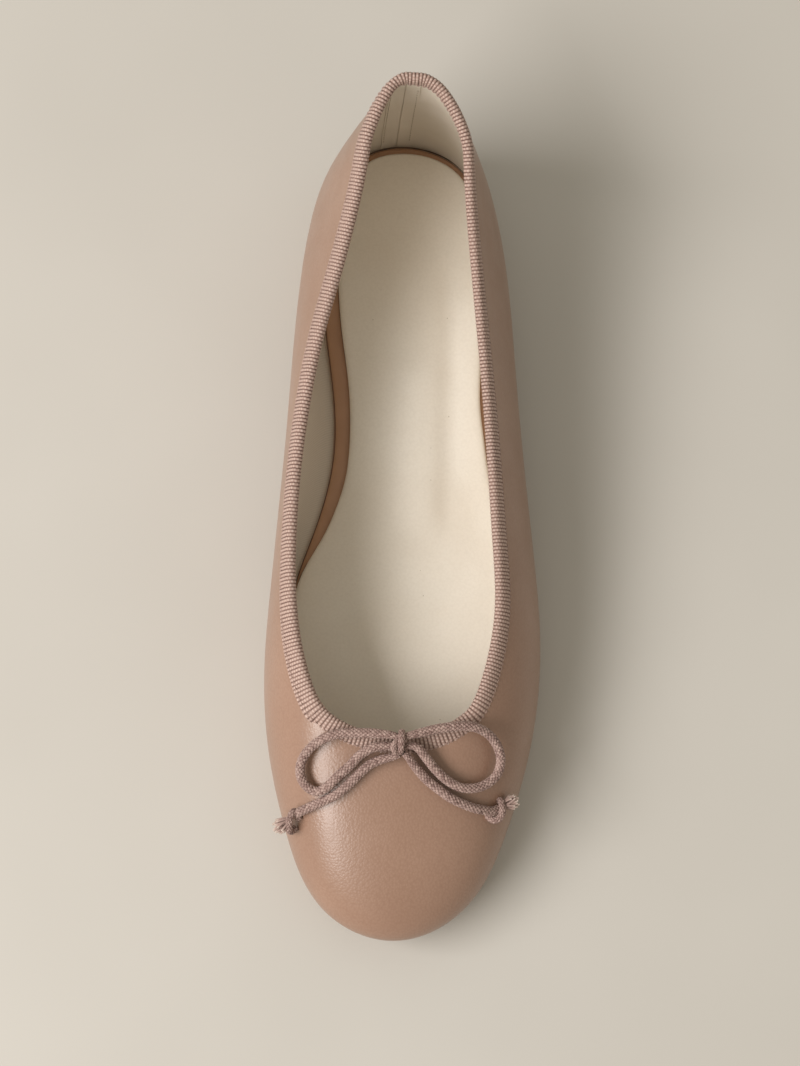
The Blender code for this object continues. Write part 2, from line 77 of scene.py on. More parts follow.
# The bow's cord: the middle of each run, lying on the vamp and the tape
CORD_DIAMETER = 2.8
LOOP_MEDIAL = (
    (-2.6, -66.2, 42.0),
    (-4.8, -65.6, 42.0),
    (-9.0, -65.1, 41.5),
    (-13.6, -64.9, 40.9),
    (-18.4, -65.0, 40.3),
    (-22.8, -66.1, 38.7),
    (-26.5, -68.4, 36.4),
    (-28.9, -71.7, 34.2),
    (-29.2, -75.4, 32.7),
    (-27.5, -78.4, 32.1),
    (-24.6, -79.9, 32.7),
    (-21.8, -78.8, 34.5),
    (-19.0, -76.1, 35.9),
    (-16.0, -73.6, 37.1),
    (-13.1, -70.7, 38.8),
    (-9.4, -68.8, 40.3),
    (-5.2, -68.4, 40.7),
    (-3.0, -68.6, 40.7),
)
LOOP_LATERAL = (
    (-1.6, -66.2, 42.0),
    (0.5, -65.6, 42.0),
    (4.4, -64.6, 41.6),
    (8.8, -63.5, 41.2),
    (13.6, -62.8, 40.7),
    (18.2, -62.8, 39.6),
    (22.2, -64.3, 37.4),
    (25.0, -67.4, 35.1),
    (26.0, -71.2, 33.4),
    (24.9, -74.9, 32.6),
    (22.0, -77.5, 32.6),
    (18.3, -78.8, 33.5),
    (14.3, -78.6, 34.7),
    (10.7, -76.8, 35.9),
    (7.5, -74.0, 37.2),
    (4.8, -71.0, 38.8),
    (2.9, -69.0, 40.2),
    (1.0, -68.3, 40.7),
    (-1.0, -68.4, 40.8),
)
TAIL_MEDIAL = (
    (-2.4, -70.6, 39.8),
    (-4.3, -71.2, 39.3),
    (-7.2, -71.8, 38.4),
    (-10.2, -73.0, 37.5),
    (-13.3, -75.6, 36.3),
    (-16.3, -78.5, 35.0),
    (-19.4, -80.9, 33.7),
    (-22.8, -82.4, 31.8),
    (-26.0, -83.6, 29.6),
    (-28.4, -84.5, 27.8),
    (-30.8, -85.4, 25.9),
)
TAIL_LATERAL = (
    (-1.2, -70.2, 39.8),
    (0.0, -71.2, 39.2),
    (2.2, -73.7, 37.6),
    (5.2, -76.8, 36.2),
    (8.4, -79.2, 35.1),
    (11.8, -81.4, 33.9),
    (15.2, -82.8, 32.4),
    (18.6, -83.8, 30.6),
    (21.3, -84.1, 28.9),
    (23.9, -84.2, 27.2),
    (26.3, -83.4, 25.8),
)

# The strand that wraps the middle of the bow, and the lump where it tucks under itself
KNOT_BAND = (
    (-1.7, -66.0, 39.4),
    (-1.7, -64.9, 40.4),
    (-1.8, -64.8, 42.0),
    (-1.9, -66.0, 43.2),
    (-2.0, -67.6, 43.3),
    (-2.1, -69.1, 42.6),
    (-2.2, -69.9, 41.0),
    (-2.2, -69.4, 39.4),
)
KNOT_TUCK = (
    (-2.4, -67.4, 41.6),
    (-3.3, -67.6, 42.6),
    (-4.0, -68.6, 42.8),
    (-3.9, -69.7, 42.0),
    (-3.0, -70.1, 40.8),
    (-2.2, -69.6, 39.6),
)
KNOT_RADIUS = 1.0

# How much a cord is drawn in where it enters the knot, and over what length
PINCH = 0.28
PINCH_REACH = 4.0

# Braid of the cord: strands each way, the length of one turn, a strand's half width and half thickness,
# how far it weaves in and out, its tone with painted light where a strand passes over and painted shade
# where it passes under, random unevenness in marks some steps apart, and the core inside, darkest as
# painted shade
YARN_SEED = 7
PLAITS = 7
BRAID_TURN = 9.0
STRAND_WIDE = 0.42
STRAND_THICK = 0.24
STRAND_SIDES = 6
WEAVE = 0.15
BRAID_STEP = 0.2
YARN_TONE = 0.5
YARN_LIGHTEST = 0.9
YARN_OVER_UNDER_PAINTED_LIGHT = 0.25
YARN_UNEVEN = 0.16
MARK_STEPS = 4
CORE_SHARE = 0.7
CORE_SIDES = 10

# Stopper knots on the tails: the strand that wraps each end, and the neck and middle of its frayed tuft
STOPPER_MEDIAL = (
    (-29.4, -86.4, 24.8),
    (-30.0, -84.9, 26.2),
    (-31.0, -84.8, 27.2),
    (-31.8, -86.4, 27.2),
    (-32.1, -88.3, 26.0),
    (-32.0, -89.5, 24.4),
    (-31.2, -89.6, 22.8),
    (-30.2, -88.5, 22.4),
)
STOPPER_LATERAL = (
    (22.7, -84.4, 26.2),
    (23.3, -85.8, 26.0),
    (24.7, -86.6, 26.3),
    (26.2, -86.0, 26.8),
    (26.9, -84.4, 27.1),
    (26.9, -82.7, 26.7),
    (26.7, -81.3, 25.8),
    (26.1, -80.8, 25.0),
)
TUFT_MEDIAL = ((-31.2, -86.5, 25.8), (-34.8, -88.6, 24.2))
TUFT_LATERAL = ((26.8, -82.8, 26.0), (30.1, -81.4, 24.8))
STOPPER_CORD = 1.05
TUFT_STRANDS = 40
TUFT_RADIUS = 2.0
TUFT_STRAND = 0.31
TUFT_POINTS = 9
TUFT_LEANS = (-0.45, 1.0)
TUFT_SIZES = (0.72, 1.0)
TUFT_CURLS = (-1.1, 1.1)
TUFT_DARKEST = 0.45

# The topline tape: how close its outer and inner flaps are pressed, how much longer the outer one is
# than its solid's, its ribs, and the warp that breaks each rib into beads
PRESS_OUTER = 0.66
PRESS_INNER = 0.88
FLAP_LONGER = 1.3
RIB_PITCH = 1.0
RIB_HEIGHT = 0.2
RIB_ROUND = 0.8
BEAD_PITCH = 0.8
STATIONS_PER_RIB = 3
CREST_PER_STATION = 4

# The tape's solid: where its first section lies, at the heel, and its rows, counted from its crest outwards
# and round underneath
TAPE_START_HALF = 1.5
TAPE_START_Y = 100.0
TAPE_CREST = 0
TAPE_OUTER_ROWS = (3, 4)
TAPE_INNER_ROWS = (10, 9)

# Stitches: pitch, length and radius on the tape and on the heel's back strips, and how a thread bows up
# in its middle and sinks at its ends, in radii
TAPE_STITCH = (1.6, 1.1, 0.2)
STRIP_STITCH = (1.7, 1.1, 0.14)
STITCH_POINTS = 5
STITCH_RISE = 0.7
STITCH_SINK = 1.5
THREAD_SIDES = 6

# The lining: what the inside looks towards, the seam between heel leather and twill, its thickness, and
# the strips over its back seam with their stitched lines
SPINE = ((0.0, 96.0, 32.0), (-1.5, -96.0, 16.0))
LINING_SEAM_Y = 58.0
LINING_LIFT = 0.05
LINING_THICK = 0.2
BACK_STRIP_Y = 80.0
BACK_STRIP_THICK = 0.3
BACK_STRIPS = {"medial": (-6.7, -2.2), "lateral": (-1.9, 2.4)}
BACK_STITCHES = {"medial": -6.0, "lateral": 1.7}
BACK_STITCH_HEIGHTS = (19.0, 62.0, 0.25)

# The back of the upper: what lies behind a line and looks backwards
BACK_Y = 95.0
BACK_SLOPE = 0.3

# The heel's top, drawn back in the middle so that its arch is round, from its middle out to a reach
ARCH_MIDDLE = -1.2
ARCH_HALF = 1.0
ARCH_BACK = 0.85
ARCH_REACH = 8.5
ARCH_LOW = 60.0

# The upper's back seam
BACK_SEAM_HALF = 0.45
BACK_SEAM_DEEP = 0.4

# The footbed: cuts across board and sock, lines along their edges that are pushed to where the edges show,
# each with its push and reach, the sock's soft waves, each with its height and reach, and the dark tubes of
# painted shade along their edges
BOARD_CUTS = 7
SOCK_CUTS = 15
PRESS_STEP = 2.0
BOARD_EDGES = (
    (((-9, 113), (-4, 115), (0, 115), (5, 115), (10, 113)), (0.0, 0.5, 0.0), 14.0),
    (((17, 107), (20, 102), (22, 97), (23, 92)), (1.1, 0.7, 0.0), 18.0),
)
SOCK_EDGES = (
    (((28, 22), (28, 16), (29, 10), (30, 4), (31, -2), (32, -8)), (2.0, 0.0, 0.0), 24.0),
    (((22, 60), (22, 53), (22, 47)), (0.6, 0.0, 0.0), 9.0),
    (((22.5, 36), (23.5, 31), (24.5, 25), (26, 19)), (-0.45, 0.0, 0.0), 7.0),
    (((-6, 111), (-2, 112), (3, 112)), (0.0, 0.9, 0.0), 16.0),
    (((14.5, 104.5), (17, 100), (19, 94), (20.5, 88)), (2.9, 1.3, 0.0), 20.0),
    (((-11, 107.5), (-14.5, 103.7), (-17, 98)), (-1.0, 0.3, 0.0), 20.0),
    (
        ((-16, 53), (-15, 47), (-15, 41), (-14, 35), (-14, 28), (-14, 22), (-15, 16)),
        (-1.0, 0.0, 0.0),
        22.0,
    ),
    (((-17.5, 4), (-20, -2), (-24, -8), (-27, -13)), (-1.2, 0.9, 0.0), 12.0),
    (((22.5, 66), (22.5, 53), (23, 41), (25, 28), (28.5, 16), (31, 4)), (0.0, 0.0, 1.0), 10.0),
)
SOCK_WAVES = (
    (((5.5, 40), (5.2, 30), (5.0, 18), (5.0, 6)), 1.2, 12.0),
    (((13.6, 76), (13.5, 56), (13.3, 36), (13.1, 16), (12.4, 3)), -0.45, 5.0),
    (((-4.0, -16), (5.0, -20), (14.0, -18)), -0.3, 9.0),
    (((-8.0, 78), (2.0, 74)), 0.3, 14.0),
    (((-7.0, 44), (-5.0, 56)), -0.3, 12.0),
)
# radius, spacing and sides of the dark tubes of painted shade along the footbed's edges
EDGE_SHADE_RADIUS = 0.15
EDGE_SHADE_STEP = 1.0
EDGE_SHADE_SIDES = 8

# The sole's tread panel, sunk inside a rim one cut wide, and the groove over the heel's tip
TREAD_CUTS = 11
TREAD_Y = (-109.0, -6.0)
TREAD_BEVEL = 0.6
TREAD_DEEP = 0.4
HEEL_TIP_LINE = (2.6, 3.1)
HEEL_TIP_GROOVE = 0.35


def mm(point):
    """A place in millimetres as a vector in metres."""
    return Vector(point) * MM


# Modelling helpers


def link(name, mesh):
    obj = bpy.data.objects.new(name, mesh)
    bpy.context.scene.collection.objects.link(obj)
    return obj


def make_active(obj):
    bpy.ops.object.select_all(action="DESELECT")
    obj.select_set(True)
    bpy.context.view_layer.objects.active = obj


def edit(obj):
    make_active(obj)
    bpy.ops.object.mode_set(mode="EDIT")
    bpy.ops.mesh.select_all(action="SELECT")


def done():
    bpy.ops.object.mode_set(mode="OBJECT")


def pick(obj, kind, test):
    """Selects what passes a test, among the vertices, edges or faces of the mesh in edit mode."""
    bpy.ops.mesh.select_mode(type=kind)
    bpy.ops.mesh.select_all(action="DESELECT")
    mesh = bmesh.from_edit_mesh(obj.data)
    for item in {"VERT": mesh.verts, "EDGE": mesh.edges, "FACE": mesh.faces}[kind]:
        if test(item):
            item.select_set(True)
    bmesh.update_edit_mesh(obj.data)


def node_copy(node, name):
    """A copy of a solid, merged and turned back to quads."""
    obj = link(name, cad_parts[node].data.copy())
    obj.data.materials.clear()
    make_active(obj)
    bpy.ops.mesh.customdata_custom_splitnormals_clear()
    edit(obj)
    bpy.ops.mesh.remove_doubles(threshold=MERGE)
    for sheared in QUAD_SHEARS:
        bpy.ops.mesh.tris_convert_to_quads(
            face_threshold=math.pi, shape_threshold=math.radians(sheared)
        )
    done()
    return obj


def apply_modifier(obj, kind, **settings):
    make_active(obj)
    made = obj.modifiers.new(kind.title(), kind)
    for setting, value in settings.items():
        setattr(made, setting, value)
    bpy.ops.object.modifier_apply(modifier=made.name)


def smooth(obj, levels):
    apply_modifier(obj, "SUBSURF", levels=levels, render_levels=levels)


def shade(obj, degrees=60.0):
    make_active(obj)
    bpy.ops.object.shade_smooth_by_angle(angle=math.radians(degrees))


def finder(points):
    """A tree that finds the nearest of some points."""
    tree = KDTree(len(points))
    for i, point in enumerate(points):
        tree.insert(point, i)
    tree.balance()
    return tree


def drag(push, reach):
    """Moves what is selected by a push that fades over a reach."""
    bpy.ops.transform.translate(
        value=mm(push),
        use_proportional_edit=True,
        proportional_edit_falloff="SMOOTH",
        proportional_size=reach * MM,
    )


def press(obj, places, push, reach):
    """Drags the top of a plate along a line of places, seen from above."""
    top = [vertex for vertex in obj.data.vertices if vertex.normal.z > 0.0]
    near = finder([(vertex.co.x, vertex.co.y, 0.0) for vertex in top])
    stops = smooth_path(places, PRESS_STEP)
    chosen = {top[near.find(mm((*stop, 0.0)))[1]].index for stop in stops}
    edit(obj)
    pick(obj, "VERT", lambda vertex: vertex.index in chosen)
    drag(push, reach)
    done()


def plate_edge(plate, facing):
    """The ring of points, in order, where a plate's sides meet its top, or its underside."""
    mesh = bmesh.new()
    mesh.from_mesh(plate.data)

    def is_edge(edge):
        slopes = sorted(facing * face.normal.z for face in edge.link_faces)
        return len(slopes) == 2 and slopes[0] < SIDE_SLOPE and slopes[1] > TOP_SLOPE

    edges = [edge for edge in mesh.edges if is_edge(edge)]
    ring = list(edges.pop().verts)
    while True:
        ahead = next((edge for edge in edges if ring[-1] in edge.verts), None)
        if ahead is None:
            break
        edges.remove(ahead)
        ring.append(ahead.other_vert(ring[-1]))
    points = np.array([vertex.co[:] for vertex in ring]) / MM
    mesh.free()
    return points


def hand_in(obj, finish, slot=None, *nodes):
    """Gives a finished piece its material and its body, and hides the solids that it stands for. The slot
    is not used.
    """
    obj.data.materials.append(finish)
    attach(obj, "root")
    if nodes:
        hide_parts(*nodes)
    return obj


# Paths and tubes


def smooth_spans(route):
    """Close points on a smooth curve through every point of a route."""
    rows = np.asarray(route, float)
    slopes = np.gradient(rows, axis=0)
    t = np.linspace(0.0, 1.0, SPAN_STEPS, endpoint=False)[:, None]
    spans = []
    for i in range(len(rows) - 1):
        spans.append(
            rows[i] * (1 + 2 * t) * (1 - t) ** 2
            + rows[i + 1] * t**2 * (3 - 2 * t)
            + slopes[i] * t * (1 - t) ** 2
            - slopes[i + 1] * t**2 * (1 - t)
        )
    return np.concatenate(spans + [rows[-1:]])


def smooth_path(route, spacing):
    """Evenly spaced points on a smooth curve through every point of a route."""
    fine = smooth_spans(route)
    run = run_along(fine)
    stops = np.linspace(0.0, run[-1], 1 + max(2, round(run[-1] / spacing)))
    return np.column_stack([np.interp(stops, run, column) for column in fine.T])


def run_along(path):
    """Distance along a path at each of its points."""
    return np.concatenate([[0.0], np.cumsum(np.linalg.norm(np.diff(path, axis=0), axis=1))])


def unit(rows):
    return rows / np.linalg.norm(rows, axis=-1, keepdims=True)


def path_frame(path):
    """Two directions square to a path at each of its points, turning as little as they can."""
    along = unit(np.gradient(path, axis=0))
    side = np.empty_like(along)
    here = np.cross(along[0], (0.0, 0.0, 1.0))
    for i, forward in enumerate(along):
        here = here - here.dot(forward) * forward
        here = here / np.linalg.norm(here)
        side[i] = here
    return side, np.cross(along, side)


class Strands:
    """Tubes gathered into one mesh, in millimetres."""

    def __init__(self):
        self.points, self.faces, self.tones = [], [], []

    def tube(self, centres, across, outward, half_wide, half_thick, sides, tone=0.5):
        """A closed tube round a line of centres, wide across, thick outward and dark to light by tone."""
        turn = np.linspace(0.0, 2 * np.pi, sides, endpoint=False)
        wide = np.broadcast_to(np.reshape(half_wide, (-1, 1, 1)), (len(centres), 1, 1))
        thick = np.broadcast_to(np.reshape(half_thick, (-1, 1, 1)), (len(centres), 1, 1))
        rings = (
            centres[:, None]
            + wide * np.sin(turn)[None, :, None] * across[:, None]
            + thick * np.cos(turn)[None, :, None] * outward[:, None]
        )
        first = len(self.points)
        self.points.extend(map(tuple, rings.reshape(-1, 3) * MM))
        self.tones.extend(np.repeat(np.broadcast_to(tone, len(centres)), sides))
        last = first + (len(centres) - 1) * sides
        for ring in range(first, last, sides):
            for j in range(sides):
                k = (j + 1) % sides
                self.faces.append((ring + j, ring + k, ring + sides + k, ring + sides + j))
        self.faces.append(tuple(range(first + sides - 1, first - 1, -1)))
        self.faces.append(tuple(range(last, last + sides)))

    def braid(self, path, radius, rng):
        """Strands that wind both ways round a path, over and under each other, on a core; painted light on
        over-strands, painted shade on under-strands and a darkest core.
        """
        side, up = path_frame(path)
        wind = 2 * np.pi * run_along(path) / BRAID_TURN
        scale = np.broadcast_to(radius, len(path)) / (CORD_DIAMETER / 2)
        middle = radius - (STRAND_THICK + WEAVE) * scale
        for way in (1, -1):
            over = way * np.cos(PLAITS * wind)
            for k in range(PLAITS):
                angle = way * wind + 2 * np.pi * k / PLAITS
                outward = np.cos(angle)[:, None] * side + np.sin(angle)[:, None] * up
                centres = path + (middle + WEAVE * scale * over)[:, None] * outward
                across = unit(np.cross(np.gradient(centres, axis=0), outward))
                wide, thick = STRAND_WIDE * scale, STRAND_THICK * scale
                marks = rng.normal(0.0, YARN_UNEVEN, 2 + len(path) // MARK_STEPS)
                uneven = np.interp(np.arange(len(path)) / MARK_STEPS, np.arange(len(marks)), marks)
                # painted light where a strand passes over and painted shade where it passes under, with
                # random unevenness
                tone = np.clip(YARN_TONE + YARN_OVER_UNDER_PAINTED_LIGHT * over + uneven, 0.0, YARN_LIGHTEST)
                self.tube(centres, across, outward, wide, thick, STRAND_SIDES, tone)
        core = CORE_SHARE * scale * CORD_DIAMETER / 2
        # the core's tone is the darkest: painted shade in the gaps between the strands
        self.tube(path, side, up, core, core, CORE_SIDES, 0.0)

    def stitches(self, path, outward, pitch, length, radius):
        """Short threads along a path, bowed up in the middle and sunk at both ends."""
        run = run_along(path)
        along = unit(np.gradient(path, axis=0))
        t = np.linspace(-1.0, 1.0, STITCH_POINTS)[:, None]
        for stop in np.arange(pitch / 2, run[-1], pitch):
            i = int(np.searchsorted(run, stop))
            rise = outward[i] * radius * (STITCH_RISE - STITCH_SINK * t**2)
            centres = path[i] + along[i] * t * length / 2 + rise
            across = np.broadcast_to(np.cross(along[i], outward[i]), centres.shape)
            lift = np.broadcast_to(outward[i], centres.shape)
            self.tube(centres, across, lift, radius, radius, THREAD_SIDES)

    def finish(self, name):
        mesh = bpy.data.meshes.new(name)
        mesh.from_pydata(self.points, [], self.faces)
        mesh.attributes.new("tone", "FLOAT", "POINT").data.foreach_set("value", self.tones)
        obj = link(name, mesh)
        edit(obj)
        bpy.ops.mesh.normals_make_consistent(inside=False)
        done()
        shade(obj, 80.0)
        return obj


# Materials


class Finish:
    """A Principled material whose patterns lie on the piece's own coordinates."""

    def __init__(self, name, **constants):
        self.material = bpy.data.materials.new(name)
        self.material.use_nodes = True
        self.tree = self.material.node_tree
        self.shader = self.tree.nodes["Principled BSDF"]
        for socket, value in constants.items():
            self.shader.inputs[socket.replace("_", " ")].default_value = value
        self.place = self.node("ShaderNodeTexCoord").outputs["Object"]
        self.height = None

    def node(self, kind, settings=(), **inputs):
        made = self.tree.nodes.new(kind)
        for setting, value in dict(settings).items():
            setattr(made, setting, value)
        for socket, value in inputs.items():
            self.put(made.inputs[socket.replace("_", " ")], value)
        return made

    def put(self, socket, value):
        if isinstance(value, bpy.types.NodeSocket):
            self.tree.links.new(value, socket)
        else:
            socket.default_value = value

    def noise(self, size, detail=2.0):
        """Soft random shade with lumps of a size in millimetres."""
        made = self.node(
            "ShaderNodeTexNoise", Vector=self.place, Scale=1 / (size * MM), Detail=detail
        )
        return made.outputs["Fac"]

    def cells(self, size, softness=0.4):
        """Rounded cells of a size in millimetres, high at their edges."""
        made = self.node(
            "ShaderNodeTexVoronoi",
            {"feature": "SMOOTH_F1"},
            Vector=self.place,
            Scale=1 / (size * MM),
            Smoothness=softness,
        )
        return made.outputs["Distance"]

    def specks(self, spacing, radius):
        """Small round dots, as a factor that is one inside them, with sizes in millimetres."""
        made = self.node("ShaderNodeTexVoronoi", Vector=self.place, Scale=1 / (spacing * MM))
        edge = radius / spacing
        return self.spread(made.outputs["Distance"], 1.0, 0.0, edge * 0.7, edge * 1.3)

    def waves(self, pitch, turned=(0.0, 0.0, 0.0), axis="X"):
        """Straight even waves of a pitch in millimetres, turned by degrees."""
        turn = [math.radians(angle) for angle in turned]
        place = self.node("ShaderNodeMapping", Vector=self.place, Rotation=turn).outputs["Vector"]
        scale = 2 * math.pi / 20 / (pitch * MM)
        made = self.node("ShaderNodeTexWave", {"bands_direction": axis}, Vector=place, Scale=scale)
        return made.outputs["Fac"]

    def attribute(self, name):
        return self.node("ShaderNodeAttribute", {"attribute_name": name}).outputs["Fac"]

    def sine(self, angle):
        made = self.node("ShaderNodeMath", {"operation": "SINE"}, Value=angle)
        return self.spread(made.outputs["Value"], 0.0, 1.0, -1.0, 1.0)

    def product(self, first, second):
        made = self.node("ShaderNodeMath", {"operation": "MULTIPLY"})
        self.put(made.inputs[0], first)
        self.put(made.inputs[1], second)
        return made.outputs["Value"]

    def spread(self, factor, low, high, start=0.0, end=1.0):
        """A factor between start and end as a number between low and high."""
        made = self.node("ShaderNodeMapRange", Value=factor)
        limits = {"From Min": start, "From Max": end, "To Min": low, "To Max": high}
        for socket, value in limits.items():
            made.inputs[socket].default_value = value
        return made.outputs["Result"]

    def shades(self, factor, *stops):
        """A factor as a colour between stops of place and colour."""
        made = self.node("ShaderNodeValToRGB", Fac=factor)
        ramp = made.color_ramp.elements
        while len(ramp) < len(stops):
            ramp.new(0.5)
        for element, (place, colour) in zip(ramp, stops):
            element.position = place
            element.color = (*colour, 1.0)
        return made.outputs["Color"]

    def mix(self, factor, first, second):
        made = self.node("ShaderNodeMix", {"data_type": "RGBA"})
        for socket, value in ((0, factor), (6, first), (7, second)):
            self.put(made.inputs[socket], value)
        return made.outputs[2]

    def bump(self, height, depth, strength=1.0):
        """Relief of a depth in millimetres, over any relief put on before."""
        made = self.node("ShaderNodeBump", Height=height, Distance=depth * MM, Strength=strength)
        if self.height is not None:
            self.put(made.inputs["Normal"], self.height)
        self.height = made.outputs["Normal"]
        for socket in ("Normal", "Coat Normal"):
            self.put(self.shader.inputs[socket], self.height)

    def colour(self, value):
        self.put(self.shader.inputs["Base Color"], value)

    def roughness(self, value):
        self.put(self.shader.inputs["Roughness"], value)


def nude_leather():
    made = Finish(
        "nude_leather",
        Specular_IOR_Level=0.5,
        Coat_Weight=0.30,
        Coat_Roughness=0.26,
    )
    clouds = made.noise(26.0, 4.0)
    base = made.shades(clouds, (0.30, (0.334, 0.198, 0.138)), (0.70, (0.371, 0.225, 0.160)))
    pores = made.cells(0.68)
    made.colour(made.mix(made.spread(pores, 0.0, 0.22, 0.25, 0.75), base, (0.24, 0.125, 0.08, 1.0)))
    made.roughness(made.spread(made.noise(9.0, 3.0), 0.34, 0.43, 0.3, 0.7))
    made.bump(made.noise(14.0, 2.0), 0.10, 0.35)
    made.bump(pores, -0.065, 0.7)
    made.bump(made.noise(0.22, 2.0), 0.01, 0.5)
    return made.material


def cord_yarn():
    made = Finish("cord_yarn", Roughness=0.8, Sheen_Weight=0.15, Sheen_Roughness=0.4)
    # tone ramp: its dark end is painted shade on the core and under-strands, its light end painted light on
    # over-strands
    yarn = made.shades(
        made.attribute("tone"),
        (0.05, (0.10, 0.057, 0.047)),
        (0.45, (0.225, 0.133, 0.115)),
        (0.90, (0.46, 0.325, 0.285)),
        (1.0, (0.66, 0.55, 0.48)),
    )
    fleck = made.spread(made.noise(0.55, 3.0), 0.0, 0.75, 0.55, 0.70)
    made.colour(made.mix(fleck, yarn, (0.56, 0.415, 0.365, 1.0)))
    made.bump(made.noise(0.16, 2.0), 0.05, 0.6)
    return made.material


def ribbed_tape():
    made = Finish("ribbed_tape", Roughness=0.75, Sheen_Weight=0.15, Sheen_Roughness=0.35)
    rib = made.attribute("rib")
    # darker in the grooves and lighter on the crests of the ribs: painted shade and painted light
    rib_painted_shade = made.shades(
        rib,
        (0.16, (0.115, 0.060, 0.046)),
        (0.56, (0.31, 0.195, 0.158)),
        (1.0, (0.50, 0.345, 0.292)),
    )
    bead = made.product(rib, made.sine(made.attribute("warp")))
    # lighter on the tops of the beads: a painted highlight; the beads' relief bumped below is real
    bead_painted_highlight = made.mix(made.spread(bead, 0.0, 0.55, 0.3, 0.9), rib_painted_shade, (0.78, 0.62, 0.55, 1.0))
    fleck = made.spread(made.noise(0.5, 3.0), 0.0, 0.5, 0.5, 0.8)
    made.colour(made.mix(fleck, bead_painted_highlight, (0.24, 0.14, 0.11, 1.0)))
    made.bump(bead, 0.07, 0.8)
    made.bump(made.noise(0.18, 2.0), 0.03, 0.6)
    return made.material


def twisted(name, dark, light, **constants):
    made = Finish(name, **constants)
    made.colour(made.shades(made.noise(0.5), (0.3, dark), (0.7, light)))
    made.bump(made.waves(0.22, (0.0, 0.0, 35.0)), 0.03, 0.6)
    return made.material


def thread():
    dark, light = (0.32, 0.205, 0.168), (0.43, 0.295, 0.248)
    return twisted("thread", dark, light, Roughness=0.65, Sheen_Weight=0.1)


def pale_thread():
    dark, light = (0.36, 0.295, 0.22), (0.52, 0.45, 0.36)
    return twisted("pale_thread", dark, light, Roughness=0.6)


def painted_edge_shade():
    # a dark line of painted shade, unevenly dark at random
    made = Finish("painted_edge_shade", Roughness=0.5)
    clouds = made.noise(3.0)
    made.colour(made.shades(clouds, (0.3, (0.10, 0.054, 0.032)), (0.7, (0.17, 0.095, 0.058))))
    return made.material


def lining_leather():
    made = Finish("lining_leather", Roughness=0.55, Sheen_Weight=0.05)
    clouds = made.noise(11.0, 4.0)
    made.colour(made.shades(clouds, (0.3, (0.65, 0.58, 0.48)), (0.7, (0.71, 0.64, 0.55))))
    made.bump(made.cells(0.7), -0.03, 0.4)
    made.bump(made.noise(6.0, 2.0), 0.06, 0.4)
    return made.material


def lining_twill():
    made = Finish("lining_twill", Roughness=0.8, Sheen_Weight=0.15)
    twill = made.waves(0.5, (38.0, 0.0, 0.0), "Z")
    cloth = made.shades(twill, (0.15, (0.61, 0.53, 0.44)), (0.75, (0.67, 0.585, 0.49)))
    fleck = made.spread(made.noise(0.4, 3.0), 0.0, 0.4, 0.4, 0.8)
    made.colour(made.mix(fleck, cloth, (0.70, 0.63, 0.54, 1.0)))
    made.bump(twill, 0.03, 0.5)
    made.bump(made.noise(0.25, 2.0), 0.03, 0.5)
    return made.material


def board_leather():
    made = Finish("board_leather", Coat_Weight=0.06, Coat_Roughness=0.4)
    clouds = made.noise(13.0, 4.0)
    made.colour(made.shades(clouds, (0.3, (0.43, 0.24, 0.14)), (0.7, (0.50, 0.29, 0.18))))
    made.roughness(made.spread(made.noise(4.0, 2.0), 0.42, 0.54, 0.3, 0.7))
    made.bump(made.cells(0.5), -0.03, 0.4)
    return made.material


def sock_leather():
    made = Finish("sock_leather", Sheen_Weight=0.06, Coat_Weight=0.04, Coat_Roughness=0.45)
    clouds = made.noise(30.0, 4.0)
    base = made.shades(clouds, (0.3, (0.81, 0.74, 0.64)), (0.7, (0.855, 0.797, 0.705)))
    grain = made.spread(made.cells(0.8), 0.0, 0.10, 0.3, 0.8)
    base = made.mix(grain, base, (0.56, 0.49, 0.40, 1.0))
    made.colour(made.mix(made.specks(7.5, 0.15), base, (0.48, 0.41, 0.32, 1.0)))
    made.roughness(made.spread(made.noise(7.0, 3.0), 0.44, 0.56, 0.3, 0.7))
    made.bump(made.noise(9.0, 3.0), 0.12, 0.3)
    made.bump(made.cells(0.55), -0.03, 0.4)
    return made.material


def sole_rubber():
    made = Finish("sole_rubber", Roughness=0.62)
    clouds = made.noise(16.0, 4.0)
    made.colour(made.shades(clouds, (0.3, (0.36, 0.235, 0.155)), (0.7, (0.43, 0.29, 0.20))))
    made.bump(made.waves(2.2, axis="Y"), 0.18, 0.5)
    made.bump(made.noise(0.6, 3.0), 0.04, 0.6)
    return made.material


def heel_rubber():
    made = Finish("heel_rubber", Roughness=0.5)
    layers = made.waves(1.6, axis="Z")
    made.colour(made.shades(layers, (0.1, (0.245, 0.150, 0.095)), (0.9, (0.31, 0.20, 0.13))))
    made.bump(layers, 0.03, 0.4)
    made.bump(made.noise(0.5, 3.0), 0.03, 0.5)
    return made.material


# Camera, light and floor


def make_camera():
    data = bpy.data.cameras.new("photo_view")
    data.lens = CAMERA_LENS
    data.clip_start = 0.05
    camera = link("photo_view", data)
    forward = (mm(CAMERA_AIM) - mm(CAMERA_PLACE)).normalized()
    right = forward.cross(Vector((0.0, 1.0, 0.0))).normalized()
    turned = Matrix((right, right.cross(forward), -forward)).transposed()
    camera.matrix_world = Matrix.LocRotScale(mm(CAMERA_PLACE), turned, None)
    bpy.context.scene.camera = camera


